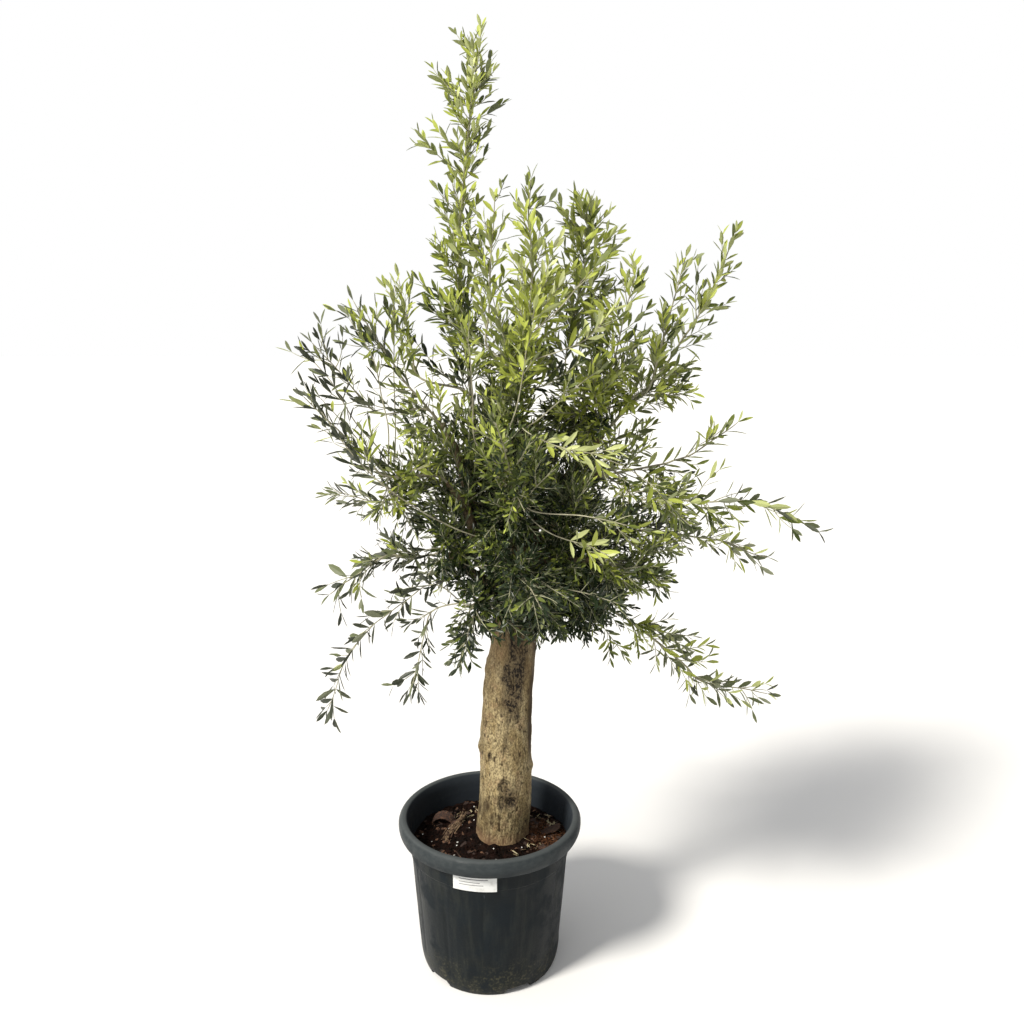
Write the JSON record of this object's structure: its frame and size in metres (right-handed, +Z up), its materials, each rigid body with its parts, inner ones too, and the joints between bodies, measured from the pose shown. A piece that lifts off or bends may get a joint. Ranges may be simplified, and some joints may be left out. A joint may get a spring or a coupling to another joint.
{
  "type": "potted olive tree",
  "caption": "Pollarded olive tree in a round black nursery pot: stout bare trunk, open crown of narrow grey-green leaves, tall leader and weeping side shoots.",
  "frame": {"origin": "centre of the pot's flat underside", "axes": "+Z up the tree; -Y towards the side the tree is seen from, the label's side; +X to its right"},
  "size_m": [1.1665, 0.8934, 2.22],
  "materials": {
    "pot_plastic": "dusty matt charcoal plastic",
    "compost": "damp dark compost with bark chips",
    "label": "blank white label",
    "trunk_bark": "tan fine-grained bark",
    "limb_bark": "grey-tan bark and shoots",
    "leaves": "leathery olive-green leaves, silvery underneath"
  },
  "bodies": {
    "root": {"pot": "pot_plastic", "soil": "compost", "label": "label", "trunk": "trunk_bark", "bough_leader": "limb_bark", "bough_centre": "limb_bark", "bough_right_wing": "limb_bark", "bough_right": "limb_bark", "bough_right_low": "limb_bark", "bough_lower_right": "limb_bark", "bough_lower_right_weep": "limb_bark", "bough_left_shoulder": "limb_bark", "bough_left": "limb_bark", "bough_lower_left": "limb_bark", "bough_back_high": "limb_bark", "bough_back": "limb_bark", "bough_back_left": "limb_bark", "bough_back_right": "limb_bark", "leader_base": "leaves", "leader_middle": "leaves", "leader_side": "leaves", "leader_tip": "leaves", "centre_base": "leaves", "centre_spire": "leaves", "centre_right": "leaves", "right_wing_base": "leaves", "right_wing_middle": "leaves", "right_wing_tip": "leaves", "right_wing_inner": "leaves", "right_core": "leaves", "right_high_spray": "leaves", "right_reach": "leaves", "right_reach_tip": "leaves", "right_low_spray": "leaves", "lower_right_core": "leaves", "lower_right_weep": "leaves", "lower_right_tip": "leaves", "left_shoulder": "leaves", "left_shoulder_tip": "leaves", "left_spur": "leaves", "left_core": "leaves", "left_reach": "leaves", "left_high_reach": "leaves", "left_middle_tip": "leaves", "lower_left_core": "leaves", "lower_left_weep": "leaves", "lower_left_long": "leaves", "lower_left_long_tip": "leaves", "lower_left_inner": "leaves", "front_high": "leaves", "front_low": "leaves", "heart_right": "leaves", "skirt_left": "leaves", "right_wing_spur": "leaves", "back_high": "leaves", "back_middle": "leaves", "back_left": "leaves", "back_right": "leaves", "back_low_left": "leaves", "back_low_right": "leaves"}
  },
  "joints": []
}
